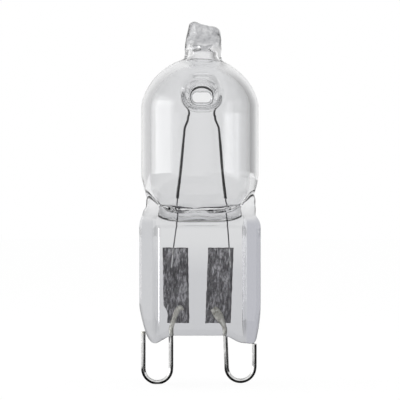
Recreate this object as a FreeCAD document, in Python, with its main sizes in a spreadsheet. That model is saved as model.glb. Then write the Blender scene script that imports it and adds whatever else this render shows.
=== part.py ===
import FreeCAD, Part
import math
import os
import Sketcher

# Halogen capsule bulb with a two-loop base, in millimetres.
# The origin lies midway between the two base loops, level with their lowest points.
# +Z runs up the bulb, X across the flat of the press seal, and -Y is the front.

SIZES = {
    # Base loops, bent from the outer leads
    "wire_diameter": 0.5,
    "loop_pitch": 9.0,
    "loop_width": 3.0,
    "left_tail_top": 5.75,
    "right_tail_top": 4.2,
    "right_loop_lift": 0.15,
    "right_leg_lean": 0.3,
    # Press seal: two thick rails joined by a thinner web, with a foot under each rail
    "seal_bottom": 5.3,
    "seal_width": 13.1,
    "seal_height": 13.65,
    "rail_thickness": 3.6,
    "rail_width": 2.1,
    "rail_slope": 25.0,
    "rail_edge": 0.5,
    "web_thickness": 2.6,
    "left_shoulder_radius": 0.9,
    "right_shoulder_radius": 1.6,
    "foot_drop": 0.9,
    "foot_start": 2.9,
    "foot_tip": 5.0,
    "foot_corner_drop": 0.3,
    "left_corner_rise": 2.3,
    "left_tail_gap": 0.12,
    "left_foot_lean": 0.2,
    "right_corner_cut": 0.45,
    "right_corner_rise": 1.3,
    # Neck, where the round bulb flattens into the seal
    "waist_rise": 0.95,
    "waist_inset": 0.55,
    "neck_rise": 3.0,
    "neck_sink": 1.65,
    "slot_rise": 0.15,
    "slot_ledge": 0.3,
    "slot_depth": 1.3,
    "slot_width": 8.6,
    "slot_gap": 1.1,
    "slot_floor_width": 8.2,
    "slot_floor_gap": 0.6,
    # Bulb
    "bulb_diameter": 12.7,
    "bulb_wall": 0.9,
    "bulb_straight": 7.05,
    "dome_excess": 0.165,
    "dome_blend": 3.0,
    # Stub of the exhaust tube, melted shut
    "tip_diameter": 4.1,
    "tip_top_diameter": 3.7,
    "tip_height": 3.95,
    "tip_slant": 0.75,
    "tip_edge": 0.35,
    "tip_offset": 0.25,
    "tip_bore": 2.2,
    "tip_bore_rise": 1.0,
    "tip_root_radius": 0.5,
    # Dents pressed in from the front and the back, and the post that joins their floors
    "dent_rise": 1.15,
    "dent_offset": 0.18,
    "dent_floor_width": 3.0,
    "dent_floor_height": 3.24,
    "dent_floor_corner": 0.85,
    "dent_floor_wall": 0.5,
    "dent_draft": 10.0,
    "dent_gap": 0.8,
    "dent_wall": 0.45,
    "dent_rim_radius": 1.2,
    "dent_root_radius": 0.4,
    "post_width": 2.2,
    "post_height": 1.48,
    "post_corner": 0.5,
    "post_drop": 0.22,
    # Sealing foils
    "foil_width": 2.75,
    "foil_length": 8.15,
    "foil_thickness": 0.03,
    "foil_rise": 1.35,
    "left_foil_place": 2.6,
    "left_foil_lean": 0.12,
    "right_foil_place": 2.1,
    "right_foil_lean": 0.32,
    "foil_tear_width": 0.4,
    "foil_tear_height": 1.9,
    "foil_tear_slope": 0.6,
    # Where the leads bend inside the seal and lie on the foils
    "lead_bend_rise": 0.9,
    "outer_weld": 1.75,
    "outer_weld_flat": 0.04,
    "left_outer_weld_place": 2.6,
    "right_outer_weld_place": 1.55,
    "inner_lead_diameter": 0.14,
    "inner_weld": 2.1,
    "inner_weld_flat": 0.015,
    "left_inner_weld_place": 3.05,
    "right_inner_weld_place": 3.3,
    # Filament
    "coil_diameter": 0.28,
    "coil_foot_rise": 1.45,
    "left_coil_foot": 2.35,
    "right_coil_foot": 2.65,
    "coil_clearance": 0.22,
    "coil_bend_drop": 0.15,
    "coil_grip": 0.6,
}

NECK_STEPS = 10
NECK_FULLNESS = 0.7
CAVITY_SPREAD = 0.4
SLOPE_STEP = 0.01
PAST = 1.0
TOUCH = 1e-4

doc = FreeCAD.newDocument("halogen_capsule_bulb")
sheet = doc.addObject("Spreadsheet::Sheet", "sizes")


class Size:
    """A length: its number now, and the expression on the sheet that keeps it current."""

    def __init__(self, value, text):
        self.value = value
        self.text = text

    def __add__(self, other):
        other = as_size(other)
        return Size(self.value + other.value, f"({self.text} + {other.text})")

    def __sub__(self, other):
        other = as_size(other)
        return Size(self.value - other.value, f"({self.text} - {other.text})")

    def __mul__(self, other):
        other = as_size(other)
        return Size(self.value * other.value, f"({self.text} * {other.text})")

    def __truediv__(self, other):
        other = as_size(other)
        return Size(self.value / other.value, f"({self.text} / {other.text})")

    def __neg__(self):
        return Size(-self.value, f"(-{self.text})")


def as_size(value):
    """A plain number as a Size that no cell moves."""
    return value if isinstance(value, Size) else Size(float(value), f"{float(value):.9f}")


def root(length):
    """The square root of a Size."""
    return Size(math.sqrt(length.value), f"sqrt({length.text})")


def larger(one, other):
    """The larger of two Sizes, whichever that is after a change."""
    return Size(max(one.value, other.value), f"max({one.text}; {other.text})")


def power(length, exponent):
    """A Size raised to a fixed power."""
    return Size(length.value**exponent, f"({length.text} ^ {exponent})")


def fill_sheet():
    """Writes each driving dimension to the sheet under its own alias, and gives them back as Sizes."""
    for row, (name, value) in enumerate(SIZES.items(), start=1):
        sheet.set(f"A{row}", name)
        sheet.set(f"B{row}", str(value))
        sheet.setAlias(f"B{row}", name)
    doc.recompute()
    return {name: Size(value, f"{sheet.Name}.{name}") for name, value in SIZES.items()}


size = fill_sheet()

# Levels and half sizes that several pieces share
wire_radius = size["wire_diameter"] / 2
loop_radius = size["loop_width"] / 2
loop_centre = size["loop_pitch"] / 2
seal_half = size["seal_width"] / 2
seal_top = size["seal_bottom"] + size["seal_height"]
waist_level = seal_top + size["waist_rise"]
neck_foot = seal_top - size["neck_sink"]
neck_top = waist_level + size["neck_rise"]
slot_top = seal_top + size["slot_rise"]
bulb_radius = size["bulb_diameter"] / 2
cavity_radius = bulb_radius - size["bulb_wall"]
dome_level = neck_top + size["bulb_straight"]
dome_radius = bulb_radius + size["dome_excess"]
blend_place = bulb_radius - size["dome_blend"]
blend_reach = dome_radius - size["dome_blend"]
dome_sink = root(blend_reach * blend_reach - blend_place * blend_place)
crown_level = dome_level - dome_sink + dome_radius
dent_level = dome_level + size["dent_rise"]
foil_bottom = size["seal_bottom"] + size["foil_rise"]
foil_top = foil_bottom + size["foil_length"]
foil_front = wire_radius - size["outer_weld_flat"]
inner_lead_radius = size["inner_lead_diameter"] / 2
filament_plane = foil_front - inner_lead_radius + size["inner_weld_flat"]
coil_radius = size["coil_diameter"] / 2
coil_foot = seal_top + size["coil_foot_rise"]


def bind(feature, prop, length):
    """Ties one property of a feature to the sheet."""
    feature.setExpression(prop, as_size(length).text)


def new_body(name):
    return doc.addObject("PartDesign::Body", name)


def origin_plane(body, role):
    return next(feature for feature in body.Origin.OriginFeatures if feature.Role == role)


def new_sketch(body, role, name, offset=None):
    """A sketch on one of the body's own origin planes, moved along that plane's normal by offset."""
    sketch = body.newObject("Sketcher::SketchObject", name)
    sketch.AttachmentSupport = [(origin_plane(body, role), "")]
    sketch.MapMode = "FlatFace"
    if offset is not None:
        bind(sketch, "AttachmentOffset.Base.z", offset)
    return sketch


def pin_point(sketch, geometry, end, point):
    """Holds one end of a sketch line, or a centre, at a point given by two Sizes."""
    for kind, length in zip(("DistanceX", "DistanceY"), point):
        number = sketch.addConstraint(Sketcher.Constraint(kind, -1, 1, geometry, end, length.value))
        sketch.setExpression(f"Constraints[{number}]", length.text)


def pin_radius(sketch, geometry, radius):
    number = sketch.addConstraint(Sketcher.Constraint("Radius", geometry, radius.value))
    sketch.setExpression(f"Constraints[{number}]", radius.text)


def flat(point):
    """A point of two Sizes as a vector in the sketch's plane."""
    return FreeCAD.Vector(point[0].value, point[1].value, 0)


def draw_outline(sketch, points, arcs=None):
    """A closed outline through points. arcs gives, for the side that starts at a point, its radius.

    An arc bulges to the right of the way from its start to its end, as on a rounded outer corner
    of an outline that runs anticlockwise.
    """
    points = [tuple(as_size(length) for length in point) for point in points]
    arcs = arcs or {}
    sides = []
    for number, start in enumerate(points):
        end = points[(number + 1) % len(points)]
        if number in arcs:
            edge = outer_arc(flat(start), flat(end), arcs[number].value)
        else:
            edge = Part.LineSegment(flat(start), flat(end))
        sides.append(sketch.addGeometry(edge, False))
    for number, side in enumerate(sides):
        following = sides[(number + 1) % len(sides)]
        sketch.addConstraint(Sketcher.Constraint("Coincident", side, 2, following, 1))
    for number, point in enumerate(points):
        pin_point(sketch, sides[number], 1, point)
    for number, radius in arcs.items():
        pin_radius(sketch, sides[number], radius)


def outer_arc(start, end, radius):
    """The short anticlockwise arc of a radius from start to end."""
    chord = end - start
    half = chord.Length / 2
    inward = FreeCAD.Vector(-chord.y, chord.x, 0).normalize()
    centre = (start + end) / 2 + inward * math.sqrt(max(radius * radius - half * half, 0))
    middle = centre - inward * radius
    return Part.Arc(start, middle, end)


def draw_rounded_rectangle(sketch, width, height, corner, centre):
    """A rectangle about centre with all four corners rounded."""
    across, up = width / 2, height / 2
    middle_x, middle_y = (as_size(length) for length in centre)
    left, right = middle_x - across, middle_x + across
    low, high = middle_y - up, middle_y + up
    points = [
        (left + corner, low),
        (right - corner, low),
        (right, low + corner),
        (right, high - corner),
        (right - corner, high),
        (left + corner, high),
        (left, high - corner),
        (left, low + corner),
    ]
    draw_outline(sketch, points, {1: corner, 3: corner, 5: corner, 7: corner})


def touching_point(point, centre, radius, turn):
    """Where a line from a point touches a circle. turn is 1 or -1 for the two sides."""
    away = point - centre
    angle = math.atan2(away.y, away.x) + turn * math.acos(radius / away.Length)
    return centre + FreeCAD.Vector(math.cos(angle), math.sin(angle), 0) * radius


def draw_hairpin(sketch, start, centre, radius, far_points, turn):
    """An open path: a straight leg from start, a bend about centre, and straight runs through far_points.

    turn is 1 where the path goes round the bend anticlockwise.
    """
    first = touching_point(flat(start), flat(centre), radius.value, turn)
    last = touching_point(flat(far_points[0]), flat(centre), radius.value, -turn)
    beyond = flat(centre) - (flat(start) + flat(far_points[0])) / 2
    crown = flat(centre) + beyond.normalize() * radius.value
    near_leg = sketch.addGeometry(Part.LineSegment(flat(start), first), False)
    bend = sketch.addGeometry(Part.Arc(first, crown, last), False)
    far_leg = sketch.addGeometry(Part.LineSegment(last, flat(far_points[0])), False)
    anticlockwise = turn > 0
    bend_start, bend_end = (1, 2) if anticlockwise else (2, 1)
    sketch.addConstraint(Sketcher.Constraint("Tangent", near_leg, 2, bend, bend_start))
    sketch.addConstraint(Sketcher.Constraint("Tangent", bend, bend_end, far_leg, 1))
    pin_point(sketch, near_leg, 1, start)
    pin_point(sketch, bend, 3, centre)
    pin_radius(sketch, bend, radius)
    draw_runs(sketch, far_points, far_leg)


def draw_runs(sketch, points, before=None):
    """Straight runs from point to point, going on from the end of the line before, if there is one."""
    if before is not None:
        pin_point(sketch, before, 2, points[0])
    for here, there in zip(points, points[1:]):
        run = sketch.addGeometry(Part.LineSegment(flat(here), flat(there)), False)
        if before is None:
            pin_point(sketch, run, 1, here)
        else:
            sketch.addConstraint(Sketcher.Constraint("Coincident", before, 2, run, 1))
        pin_point(sketch, run, 2, there)
        before = run


def round_wire(body, path, radius):
    """A round bar along a path, from a section square to the path's first run."""
    section = body.newObject("Sketcher::SketchObject", body.Name + "_section")
    section.AttachmentSupport = [(path, "Edge1")]
    section.MapMode = "NormalToEdge"
    circle = section.addGeometry(Part.Circle(FreeCAD.Vector(), FreeCAD.Vector(0, 0, 1), radius.value), False)
    section.addConstraint(Sketcher.Constraint("Coincident", circle, 3, -1, 1))
    pin_radius(section, circle, radius)
    doc.recompute()
    pipe = body.newObject("PartDesign::AdditivePipe", body.Name + "_pipe")
    pipe.Profile = section
    pipe.Spine = path
    pipe.Transition = "Right corner"
    doc.recompute()


def cut(base, tool, name):
    result = doc.addObject("Part::Cut", name)
    result.Base = base
    result.Tool = tool
    return result


def fuse(pieces, name):
    result = doc.addObject("Part::MultiFuse", name)
    result.Shapes = pieces
    result.Refine = True
    return result


def revolve(body, sketch, name):
    feature = body.newObject("PartDesign::Revolution", name)
    feature.Profile = sketch
    feature.ReferenceAxis = (sketch, ["V_Axis"])
    feature.Angle = 360
    return feature


def meeting_edges(shape, one, other):
    """The edges of a shape along which two of the forms it was made from meet."""
    skins = [Part.makeCompound(form.Shape.Faces) for form in (one, other)]
    names = []
    for number, edge in enumerate(shape.Edges, start=1):
        middle = Part.Vertex(edge.valueAt((edge.FirstParameter + edge.LastParameter) / 2))
        if all(middle.distToShape(skin)[0] < TOUCH for skin in skins):
            names.append(f"Edge{number}")
    return names


def rounded(base, name, rounds):
    """A form with its edges blended. rounds lists, for each blend, the two forms that meet and the radius."""
    body = new_body(name)
    body.BaseFeature = base
    doc.recompute()
    last = body.Tip
    for number, (one, other, radius) in enumerate(rounds, start=1):
        blend = body.newObject("PartDesign::Fillet", f"{name}_blend_{number}")
        blend.Base = (last, meeting_edges(last.Shape, one, other))
        bind(blend, "Radius", radius)
        doc.recompute()
        last = blend
    return body


# Bulb: a round wall, blended into a dome that is part of a slightly larger ball, turned about the bulb's axis
def round_bulb(name, inset):
    """inset is how far inside the outer surface: nothing, or the wall's thickness for the cavity."""
    body = new_body(name)
    sketch = new_sketch(body, "XZ_Plane", name + "_profile")
    radius = bulb_radius - inset
    dome = dome_radius - inset
    blend = size["dome_blend"] - inset
    dome_centre = dome_level - dome_sink
    blend_end = (dome * blend_place / blend_reach, dome_centre + dome * dome_sink / blend_reach)
    zero = as_size(0)
    crown = (zero, dome_centre + dome)
    points = [(zero, neck_top), (radius, neck_top), (radius, dome_level), blend_end, crown]
    draw_outline(sketch, points, {2: blend, 3: dome})
    doc.recompute()
    revolve(body, sketch, name + "_turned")
    return body


# Neck: oval sections, joined by narrow bands, that flatten from the round bulb towards the seal
def neck(name, ovals):
    """ovals lists each section's level, half width and half thickness, from the bulb down."""
    sections = []
    for number, (level, half_width, half_thickness) in enumerate(ovals):
        oval = doc.addObject("Part::Ellipse", f"{name}_oval_{number}")
        bind(oval, "MajorRadius", larger(half_width, half_thickness))
        bind(oval, "MinorRadius", half_thickness)
        bind(oval, ".Placement.Base.z", level)
        sections.append(oval)
    loft = doc.addObject("Part::Loft", name)
    loft.Sections = sections
    loft.Solid = True
    loft.Ruled = True
    return loft


def neck_levels(foot):
    """Evenly spaced levels from the top of the neck down to a foot."""
    return [neck_top - (neck_top - foot) * (step / NECK_STEPS) for step in range(NECK_STEPS + 1)]


def swell(level, foot):
    """How far the neck has widened at a level: from 0 at the foot to 1 at its top, easing at both ends."""
    share = larger((level - foot) / (neck_top - foot), as_size(0))
    return share * share * (as_size(3) - share * 2)


def neck_thickness(level):
    """Half the neck's thickness: it eases from the web's up to the bulb's."""
    web = size["web_thickness"] / 2
    return web + (bulb_radius - web) * power(swell(level, neck_foot), NECK_FULLNESS)


def outer_neck():
    """Outside, the neck draws in to its waist and flattens to the thickness of the web."""
    waist = bulb_radius - size["waist_inset"]
    ovals = []
    for level in neck_levels(neck_foot):
        half_width = waist + size["waist_inset"] * swell(level, waist_level)
        ovals.append((level, half_width, neck_thickness(level)))
    return neck("neck_outside", ovals)


def inner_neck():
    """Inside, it keeps an even wall, then closes to a slot across the top of the seal, with a narrow floor."""
    across = size["slot_width"] / 2
    gap = size["slot_gap"] / 2
    ovals = []
    for level in neck_levels(slot_top):
        half_width = across + (cavity_radius - across) * power(swell(level, slot_top), CAVITY_SPREAD)
        steepness = (neck_thickness(level) - neck_thickness(level - SLOPE_STEP)) / SLOPE_STEP
        slanted_wall = size["bulb_wall"] * root(steepness * steepness + 1)
        ovals.append((level, half_width, neck_thickness(level) - slanted_wall))
    ovals.append((slot_top - size["slot_ledge"], across, gap))
    ovals.append((slot_top - size["slot_depth"] * 0.8, across, gap))
    ovals.append((slot_top - size["slot_depth"], size["slot_floor_width"] / 2, size["slot_floor_gap"] / 2))
    return neck("neck_inside", ovals)


# Press seal: the front outline, as thick as its rails, with the web sunk between them on both faces
def press_seal():
    body = new_body("press_seal")
    outline = new_sketch(body, "XZ_Plane", "seal_outline")
    left_shoulder = size["left_shoulder_radius"]
    right_shoulder = size["right_shoulder_radius"]
    foot_level = size["seal_bottom"] - size["foot_drop"]
    corner_level = size["seal_bottom"] - size["foot_corner_drop"]
    tail_side = -(loop_centre + loop_radius - wire_radius - size["left_tail_gap"])
    points = [
        (-size["foot_start"], size["seal_bottom"]),
        (size["foot_start"], size["seal_bottom"]),
        (size["foot_tip"], foot_level),
        (seal_half - size["right_corner_cut"], corner_level),
        (seal_half, size["seal_bottom"] + size["right_corner_rise"]),
        (seal_half, seal_top - right_shoulder),
        (seal_half - right_shoulder, seal_top),
        (-seal_half + left_shoulder, seal_top),
        (-seal_half, seal_top - left_shoulder),
        (-seal_half, size["seal_bottom"] + size["left_corner_rise"]),
        (tail_side, size["left_tail_top"]),
        (tail_side + size["left_foot_lean"], corner_level),
        (-size["foot_tip"], foot_level),
    ]
    draw_outline(outline, points, {5: right_shoulder, 7: left_shoulder})
    doc.recompute()
    pad = body.newObject("PartDesign::Pad", "seal_pad")
    pad.Profile = outline
    pad.SideType = "Symmetric"
    bind(pad, "Length", size["rail_thickness"])
    doc.recompute()
    round_over = body.newObject("PartDesign::Fillet", "seal_edges")
    round_over.Base = (pad, face_outline_edges(pad.Shape))
    bind(round_over, "Radius", size["rail_edge"])
    doc.recompute()
    recess = new_sketch(body, "XZ_Plane", "web_outline", size["rail_thickness"] / 2)
    across = seal_half - size["rail_width"]
    low = foot_level - PAST
    high = seal_top + PAST
    draw_outline(recess, [(-across, low), (across, low), (across, high), (-across, high)])
    doc.recompute()
    front = body.newObject("PartDesign::Pocket", "web_front")
    front.Profile = recess
    bind(front, "Length", (size["rail_thickness"] - size["web_thickness"]) / 2)
    bind(front, "TaperAngle", -size["rail_slope"])
    doc.recompute()
    both = body.newObject("PartDesign::Mirrored", "web_both")
    both.Originals = [front]
    both.MirrorPlane = (origin_plane(body, "XZ_Plane"), [""])
    doc.recompute()
    body.Tip = both
    return body


def face_outline_edges(shape):
    """The edges round a slab's front and back faces, which lie at its largest and smallest Y."""
    ends = (shape.BoundBox.YMin, shape.BoundBox.YMax)
    names = []
    for number, edge in enumerate(shape.Edges, start=1):
        box = edge.BoundBox
        if any(abs(box.YMin - y) < 1e-6 and abs(box.YMax - y) < 1e-6 for y in ends):
            names.append(f"Edge{number}")
    return names


# Exhaust stub: a short tube end, tapering to a slanted, melted top
def exhaust_stub():
    body = new_body("exhaust_stub")
    bind(body, ".Placement.Base.x", size["tip_offset"])
    profile = new_sketch(body, "XZ_Plane", "stub_profile")
    base = size["tip_diameter"] / 2
    top = size["tip_top_diameter"] / 2
    root = crown_level - size["bulb_wall"] * 2
    taper_level = crown_level + size["tip_bore_rise"]
    summit = crown_level + size["tip_height"]
    zero = as_size(0)
    points = [(zero, root), (base, root), (base, taper_level), (top, summit), (zero, summit)]
    draw_outline(profile, points)
    doc.recompute()
    turned = revolve(body, profile, "stub_turned")
    doc.recompute()
    slant = new_sketch(body, "XZ_Plane", "stub_slant")
    reach = size["tip_diameter"]
    slope = size["tip_slant"] / size["tip_top_diameter"]
    points = [
        (-reach, summit + (reach - top) * slope),
        (reach, summit - (reach + top) * slope),
        (reach, summit + reach),
        (-reach, summit + reach),
    ]
    draw_outline(slant, points)
    doc.recompute()
    cut_off = body.newObject("PartDesign::Pocket", "stub_cut_off")
    cut_off.Profile = slant
    cut_off.SideType = "Symmetric"
    bind(cut_off, "Length", reach * 2)
    doc.recompute()
    rim = body.newObject("PartDesign::Fillet", "stub_rim")
    rim.Base = (cut_off, top_face_edges(cut_off.Shape))
    bind(rim, "Radius", size["tip_edge"])
    doc.recompute()
    return body


def top_face_edges(shape):
    """The edges round the face whose middle is highest."""
    top = max(shape.Faces, key=lambda face: face.CenterOfMass.z)
    edges = enumerate(shape.Edges, start=1)
    return [f"Edge{number}" for number, edge in edges if any(edge.isSame(other) for other in top.Edges)]


# Bore of the stub: a blind round hole up from the bulb
def stub_bore():
    bore = doc.addObject("Part::Cylinder", "stub_bore")
    bind(bore, "Radius", size["tip_bore"] / 2)
    bind(bore, "Height", size["tip_bore_rise"] + size["bulb_wall"] * 2)
    bind(bore, ".Placement.Base.x", size["tip_offset"])
    bind(bore, ".Placement.Base.z", crown_level - size["bulb_wall"] * 2)
    return bore


# Dents: the mark of a punch that widens with its draft from a flat floor, made in front and mirrored behind
def dent_pair(name, floor_depth, spread):
    """spread is how much larger all round than the dent itself: its wall, for the inside of the dents."""
    body = new_body(name)
    width = size["dent_floor_width"] + spread * 2
    height = size["dent_floor_height"] + spread * 2
    floor = new_sketch(body, "XZ_Plane", name + "_floor", floor_depth)
    centre = (size["dent_offset"], dent_level)
    draw_rounded_rectangle(floor, width, height, size["dent_floor_corner"] + spread, centre)
    doc.recompute()
    punch = body.newObject("PartDesign::Pad", name + "_punch")
    punch.Profile = floor
    bind(punch, "Length", bulb_radius + PAST - floor_depth)
    doc.recompute()
    floor_face, sides = punch_faces(punch.Shape)
    draft = body.newObject("PartDesign::Draft", name + "_draft")
    draft.Base = (punch, sides)
    draft.NeutralPlane = (punch, [floor_face])
    bind(draft, "Angle", size["dent_draft"])
    doc.recompute()
    both = body.newObject("PartDesign::Mirrored", name + "_both")
    both.TransformMode = "Whole shape"
    both.MirrorPlane = (origin_plane(body, "XZ_Plane"), [""])
    doc.recompute()
    body.Tip = both
    return body


def punch_faces(shape):
    """A punch's floor, which is its rearmost face, and its sides, which run forward from there."""
    faces = {f"Face{number}": face.BoundBox for number, face in enumerate(shape.Faces, start=1)}
    floor_face = max(faces, key=lambda name: faces[name].YMin)
    sides = [name for name, box in faces.items() if box.YLength > TOUCH]
    return floor_face, sides


# Post: where the two floors stuck together as they were pressed, under the bend of the coil
def floor_post():
    body = new_body("post")
    outline = new_sketch(body, "XZ_Plane", "post_outline")
    centre = (size["dent_offset"], dent_level - size["post_drop"])
    draw_rounded_rectangle(outline, size["post_width"], size["post_height"], size["post_corner"], centre)
    doc.recompute()
    pad = body.newObject("PartDesign::Pad", "post_pad")
    pad.Profile = outline
    pad.SideType = "Symmetric"
    bind(pad, "Length", size["dent_gap"] + size["dent_floor_wall"])
    doc.recompute()
    return body


# Outer leads: from the free tail round the base loop, up into the seal and on to the foil
def outer_lead(side, tail_top, lift, lean, weld_place):
    """side is -1 on the left and 1 on the right."""
    name = "left" if side < 0 else "right"
    body = new_body(f"outer_wire_{name}")
    path = new_sketch(body, "XZ_Plane", f"outer_path_{name}")
    tail = ((loop_centre + loop_radius) * side, tail_top)
    centre = (loop_centre * side, loop_radius + wire_radius + lift)
    inside = (loop_centre - loop_radius - lean) * side
    entry = (inside, size["seal_bottom"] + size["lead_bend_rise"])
    weld = (weld_place * side, foil_bottom + size["outer_weld"])
    draw_hairpin(path, tail, centre, loop_radius, [entry, weld], -side)
    doc.recompute()
    round_wire(body, path, wire_radius)
    return ground_flat(body, f"outer_lead_{name}")


def ground_flat(body, name):
    """The wire with its back ground flat where it lies on the foil."""
    block = doc.addObject("Part::Box", name + "_flat")
    bind(block, "Length", size["seal_width"])
    bind(block, "Width", size["rail_thickness"])
    bind(block, "Height", size["foil_length"] + size["outer_weld"])
    bind(block, ".Placement.Base.x", -seal_half)
    bind(block, ".Placement.Base.y", foil_front)
    bind(block, ".Placement.Base.z", foil_bottom)
    return cut(body, block, name)


# Sealing foils: thin strips with one torn corner on the left
def foil(side, place, lean, torn):
    name = "foil_left" if side < 0 else "foil_right"
    body = new_body(name)
    outline = new_sketch(body, "XZ_Plane", name + "_outline", -foil_front)
    half = size["foil_width"] / 2
    low = place * side - lean / 2
    high = place * side + lean / 2
    tear = size["foil_tear_height"]
    points = [
        (low + half, foil_bottom),
        (high + half, foil_top),
        (high - half, foil_top),
        (low - half + lean * (tear / size["foil_length"]), foil_bottom + tear),
    ]
    if torn:
        edge = low - half + size["foil_tear_width"]
        points += [(edge, foil_bottom + tear - size["foil_tear_slope"]), (edge, foil_bottom)]
    else:
        points[-1] = (low - half, foil_bottom)
    draw_outline(outline, points)
    doc.recompute()
    pad = body.newObject("PartDesign::Pad", name + "_pad")
    pad.Profile = outline
    pad.Reversed = True
    bind(pad, "Length", size["foil_thickness"])
    doc.recompute()
    return body


# Inner leads: from the foil up through the cavity's floor into the foot of the coil
def inner_lead(side, weld_place, coil_place):
    name = "left" if side < 0 else "right"
    body = new_body(f"inner_wire_{name}")
    path = new_sketch(body, "XZ_Plane", f"inner_path_{name}", -filament_plane)
    weld = (weld_place * side, foil_top - size["inner_weld"])
    rise = filament_bend_level() - coil_foot
    inward = (coil_place * side - size["dent_offset"] - filament_bend() * side) / rise
    tip = (coil_place * side - inward * size["coil_grip"], coil_foot + size["coil_grip"])
    draw_runs(path, [weld, tip])
    doc.recompute()
    round_wire(body, path, inner_lead_radius)
    return ground_flat(body, f"inner_lead_{name}")


def filament_bend():
    """The coil's bend clears the post on both sides."""
    return size["post_width"] / 2 + size["coil_clearance"] + coil_radius


def filament_bend_level():
    """The coil is hung between the dents, its bend's centre a little under theirs."""
    return dent_level - size["coil_bend_drop"]


# Filament: the coil's outer form, two legs joined over the post, bored at its feet for the leads
def filament(leads):
    body = new_body("coil_form")
    path = new_sketch(body, "XZ_Plane", "coil_path", -filament_plane)
    start = (-size["left_coil_foot"], coil_foot)
    end = (size["right_coil_foot"], coil_foot)
    centre = (size["dent_offset"], filament_bend_level())
    draw_hairpin(path, start, centre, filament_bend(), [end], -1)
    doc.recompute()
    round_wire(body, path, coil_radius)
    bored = cut(body, leads[0], "coil_bored")
    return cut(bored, leads[1], "filament_coil")


outer_leads = [
    outer_lead(-1, size["left_tail_top"], as_size(0), as_size(0), size["left_outer_weld_place"]),
    outer_lead(
        1,
        size["right_tail_top"],
        size["right_loop_lift"],
        size["right_leg_lean"],
        size["right_outer_weld_place"],
    ),
]
foils = [
    foil(-1, size["left_foil_place"], -size["left_foil_lean"], True),
    foil(1, size["right_foil_place"], size["right_foil_lean"], False),
]
inner_leads = [
    inner_lead(-1, size["left_inner_weld_place"], size["left_coil_foot"]),
    inner_lead(1, size["right_inner_weld_place"], size["right_coil_foot"]),
]
coil = filament(inner_leads)

# Envelope: the outer form, dented and blended, hollowed round dents and post, and sealed round the metal
bulb_outside = round_bulb("bulb_outside", as_size(0))
stub = exhaust_stub()
outer_form = fuse([bulb_outside, outer_neck(), press_seal(), stub], "outer_form")
floor_level = size["dent_gap"] / 2
dents = dent_pair("dents", floor_level + size["dent_floor_wall"], as_size(0))
dented = cut(outer_form, dents, "dented")
blended = rounded(
    dented,
    "blended",
    [(bulb_outside, stub, size["tip_root_radius"]), (bulb_outside, dents, size["dent_rim_radius"])],
)
bulb_inside = round_bulb("bulb_inside", size["bulb_wall"])
cavity = fuse([bulb_inside, inner_neck(), stub_bore()], "cavity")
dent_walls = dent_pair("dent_walls", floor_level, size["dent_wall"])
walled = cut(cavity, dent_walls, "walled")
softened = rounded(walled, "softened", [(bulb_inside, dent_walls, size["dent_root_radius"])])
hollow = cut(softened, floor_post(), "hollow")
envelope = cut(blended, hollow, "hollowed")
for number, metal in enumerate(outer_leads + foils + inner_leads, start=1):
    envelope = cut(envelope, metal, f"sealed_{number}")

nodes = {
    "quartz_envelope": envelope,
    "filament_coil": coil,
    "inner_lead_left": inner_leads[0],
    "inner_lead_right": inner_leads[1],
    "foil_left": foils[0],
    "foil_right": foils[1],
    "outer_lead_left": outer_leads[0],
    "outer_lead_right": outer_leads[1],
}

doc.recompute()
for item in doc.Objects:
    if {"Invalid", "Error"} & set(item.State):
        raise RuntimeError(f"{item.Name} failed: {item.State}")
for name, piece in nodes.items():
    piece.Label = name
    if piece.Shape.isNull() or not piece.Shape.isValid():
        raise RuntimeError(f"{name} has no valid shape")

os.makedirs("parts", exist_ok=True)
for name, piece in nodes.items():
    piece.Shape.exportStep(os.path.join("parts", name + ".step"))
    box = piece.Shape.BoundBox
    solids = len(piece.Shape.Solids)
    print(f"{name}: {solids} solid, {piece.Shape.Volume:.3f} mm3, z {box.ZMin:.2f} to {box.ZMax:.2f}")
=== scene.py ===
import math

import bpy
import numpy as np
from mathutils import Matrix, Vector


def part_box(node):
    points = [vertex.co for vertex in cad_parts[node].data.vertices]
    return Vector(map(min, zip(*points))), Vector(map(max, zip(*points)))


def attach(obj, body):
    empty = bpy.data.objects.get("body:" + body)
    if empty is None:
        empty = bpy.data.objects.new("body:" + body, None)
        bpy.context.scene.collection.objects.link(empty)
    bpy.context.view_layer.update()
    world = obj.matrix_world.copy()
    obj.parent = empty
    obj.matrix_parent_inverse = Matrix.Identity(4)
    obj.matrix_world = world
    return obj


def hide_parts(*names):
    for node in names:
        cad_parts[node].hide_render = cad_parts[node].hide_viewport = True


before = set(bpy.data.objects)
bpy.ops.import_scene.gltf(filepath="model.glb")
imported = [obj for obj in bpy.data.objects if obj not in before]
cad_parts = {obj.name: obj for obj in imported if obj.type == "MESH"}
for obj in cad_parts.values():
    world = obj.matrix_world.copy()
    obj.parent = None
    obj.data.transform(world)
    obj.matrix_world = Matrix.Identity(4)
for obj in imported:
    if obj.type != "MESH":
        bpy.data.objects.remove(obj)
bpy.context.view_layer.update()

# Sealing foils: two strips of rolled molybdenum in the seal, etched so thin that they give with the quartz.
# They crinkle lengthwise as the hot quartz is pressed round them, and the left one has lost its lower corner.
MILLIMETRE = 0.001
FOIL_WIDTH = 2.75
FOIL_HALF_THICKNESS = 0.018
FOIL_CRINKLE = 0.05
FOIL_RAGGED_EDGE = 0.012
FOIL_TEAR_WIDTH = 0.4
FOIL_TEAR_HEIGHT = 1.9
FOIL_TEAR_EASE = 0.9
FOIL_LEANS = {"foil_left": -0.12, "foil_right": 0.32}
FOIL_ACROSS = 56
FOIL_UP = 140
FOIL_DARK = (0.055, 0.053, 0.058, 1.0)
FOIL_MIDDLE = (0.19, 0.186, 0.198, 1.0)
FOIL_PALE = (0.66, 0.65, 0.68, 1.0)
# Widths of the painted shade along each foil's right side and its top, in millimetres.
FOIL_SIDE_SHADE_WIDTH = 0.36
FOIL_TOP_SHADE_WIDTH = 0.16


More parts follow.
